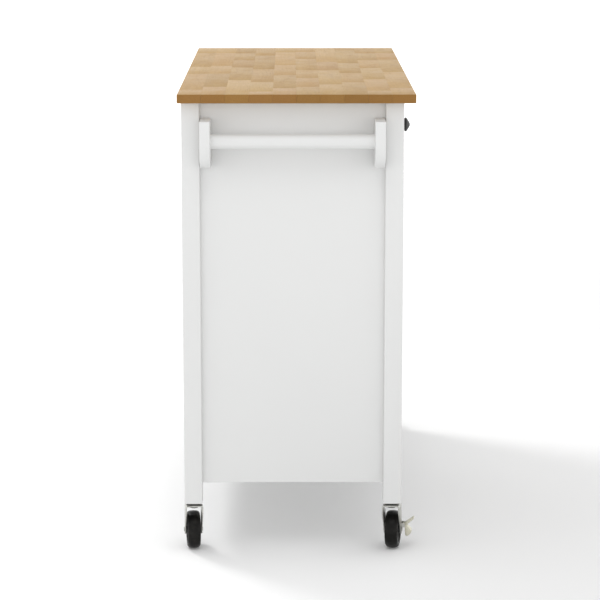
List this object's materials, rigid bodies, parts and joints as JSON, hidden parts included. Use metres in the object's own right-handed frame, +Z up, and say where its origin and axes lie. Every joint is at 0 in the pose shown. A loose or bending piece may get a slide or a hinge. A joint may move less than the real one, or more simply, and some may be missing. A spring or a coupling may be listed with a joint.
{
  "type": "rolling kitchen cart with butcher block top",
  "caption": "Rolling kitchen cart with a butcher block top, drawers, shelved bays, a panelled door, an end towel bar and swivel casters.",
  "frame": {"origin": "on the floor under the middle of the whole envelope, towel bar included", "axes": "+X along the cart away from the towel bar, +Y from the drawer fronts to the back, +Z up"},
  "size_m": [1.1252, 0.4648, 0.914],
  "materials": {
    "butcher_block": "oiled edge-glued hardwood staves, satin",
    "white_paint": "white satin paint on wood",
    "drawer_board": "clear lacquered light board",
    "dowel_wood": "plain beech",
    "zinc_steel": "zinc plated",
    "brake_steel": "zinc plated, slightly yellow",
    "dark_steel": "black oxide",
    "black_knob": "satin black",
    "catch_plastic": "white moulded",
    "hub_plastic": "moulded black",
    "tyre": "smooth black tread"
  },
  "bodies": {
    "cart": {"worktop": "butcher_block", "leg_front_left": "white_paint", "leg_front_right": "white_paint", "leg_back_left": "white_paint", "leg_back_right": "white_paint", "side_panel_left": "white_paint", "side_panel_right": "white_paint", "centre_partition": "white_paint", "cabinet_floor": "white_paint", "front_top_rail": "white_paint", "front_middle_rail": "white_paint", "front_bottom_rail": "white_paint", "back_top_rail": "white_paint", "back_bottom_rail": "white_paint", "back_centre_stile": "white_paint", "back_panels": "white_paint", "frame_dowels": "dowel_wood", "worktop_screws": "zinc_steel", "shelves": "white_paint", "shelf_pins": "zinc_steel", "drawer_slide_cabinet_members": "zinc_steel", "door_hinge_leg_leaves": "zinc_steel", "door_catch": "catch_plastic", "towel_bar": "white_paint", "towel_bracket_front": "white_paint", "towel_bracket_back": "white_paint", "towel_bracket_screws": "zinc_steel", "caster_stems": "dark_steel"},
    "drawer_left": {"drawer_left_front": "white_paint", "drawer_left_sides": "drawer_board", "drawer_left_back": "drawer_board", "drawer_left_bottom": "drawer_board", "drawer_left_slides": "zinc_steel", "drawer_left_knob": "black_knob"},
    "drawer_right": {"drawer_right_front": "white_paint", "drawer_right_sides": "drawer_board", "drawer_right_back": "drawer_board", "drawer_right_bottom": "drawer_board", "drawer_right_slides": "zinc_steel", "drawer_right_knob": "black_knob"},
    "door": {"door_stiles": "white_paint", "door_rails": "white_paint", "door_panel": "white_paint", "door_knob": "black_knob", "door_hinge_door_leaves": "zinc_steel", "door_strike": "zinc_steel"},
    "caster_front_left_swivel": {"caster_front_left_fork": "zinc_steel"},
    "caster_front_left_wheel": {"caster_front_left_hub": "hub_plastic", "caster_front_left_tyre": "tyre"},
    "caster_front_left_brake_lever": {"caster_front_left_brake": "brake_steel"},
    "caster_front_right_swivel": {"caster_front_right_fork": "zinc_steel"},
    "caster_front_right_wheel": {"caster_front_right_hub": "hub_plastic", "caster_front_right_tyre": "tyre"},
    "caster_front_right_brake_lever": {"caster_front_right_brake": "brake_steel"},
    "caster_back_left_swivel": {"caster_back_left_fork": "zinc_steel"},
    "caster_back_left_wheel": {"caster_back_left_hub": "hub_plastic", "caster_back_left_tyre": "tyre"},
    "caster_back_right_swivel": {"caster_back_right_fork": "zinc_steel"},
    "caster_back_right_wheel": {"caster_back_right_hub": "hub_plastic", "caster_back_right_tyre": "tyre"}
  },
  "joints": [
    {"name": "drawer_left_slide", "type": "slide", "parent": "cart", "child": "drawer_left", "axis": [0, -1, 0], "range_m": [0, 0.26]},
    {"name": "drawer_right_slide", "type": "slide", "parent": "cart", "child": "drawer_right", "axis": [0, -1, 0], "range_m": [0, 0.26]},
    {"name": "door_hinge", "type": "hinge", "parent": "cart", "child": "door", "pos_m": [0.4845, -0.2097, 0.4545], "axis": [0, 0, 1], "range_deg": [0, 110]},
    {"name": "caster_front_left_swivel", "type": "hinge", "parent": "cart", "child": "caster_front_left_swivel", "pos_m": [-0.485, -0.189, 0.095], "axis": [0, 0, 1], "continuous": true},
    {"name": "caster_front_left_roll", "type": "hinge", "parent": "caster_front_left_swivel", "child": "caster_front_left_wheel", "pos_m": [-0.46333, -0.19282, 0.0375], "axis": [0.1736, 0.9848, 0], "continuous": true},
    {"name": "caster_front_left_brake", "type": "hinge", "parent": "caster_front_left_swivel", "child": "caster_front_left_brake_lever", "pos_m": [-0.46715, -0.21449, 0.048], "axis": [0.9848, -0.1736, 0], "range_deg": [0, 16]},
    {"name": "caster_front_right_swivel", "type": "hinge", "parent": "cart", "child": "caster_front_right_swivel", "pos_m": [0.503, -0.189, 0.095], "axis": [0, 0, 1], "continuous": true},
    {"name": "caster_front_right_roll", "type": "hinge", "parent": "caster_front_right_swivel", "child": "caster_front_right_wheel", "pos_m": [0.52484, -0.18632, 0.0375], "axis": [-0.1219, 0.9925, 0], "continuous": true},
    {"name": "caster_front_right_brake", "type": "hinge", "parent": "caster_front_right_swivel", "child": "caster_front_right_brake_lever", "pos_m": [0.52752, -0.20815, 0.048], "axis": [0.9925, 0.1219, 0], "range_deg": [0, 16]},
    {"name": "caster_back_left_swivel", "type": "hinge", "parent": "cart", "child": "caster_back_left_swivel", "pos_m": [-0.485, 0.204, 0.095], "axis": [0, 0, 1], "continuous": true},
    {"name": "caster_back_left_roll", "type": "hinge", "parent": "caster_back_left_swivel", "child": "caster_back_left_wheel", "pos_m": [-0.46312, 0.2063, 0.0375], "axis": [-0.1045, 0.9945, 0], "continuous": true},
    {"name": "caster_back_right_swivel", "type": "hinge", "parent": "cart", "child": "caster_back_right_swivel", "pos_m": [0.503, 0.204, 0.095], "axis": [0, 0, 1], "continuous": true},
    {"name": "caster_back_right_roll", "type": "hinge", "parent": "caster_back_right_swivel", "child": "caster_back_right_wheel", "pos_m": [0.52495, 0.20247, 0.0375], "axis": [0.0698, 0.9976, 0], "continuous": true}
  ]
}
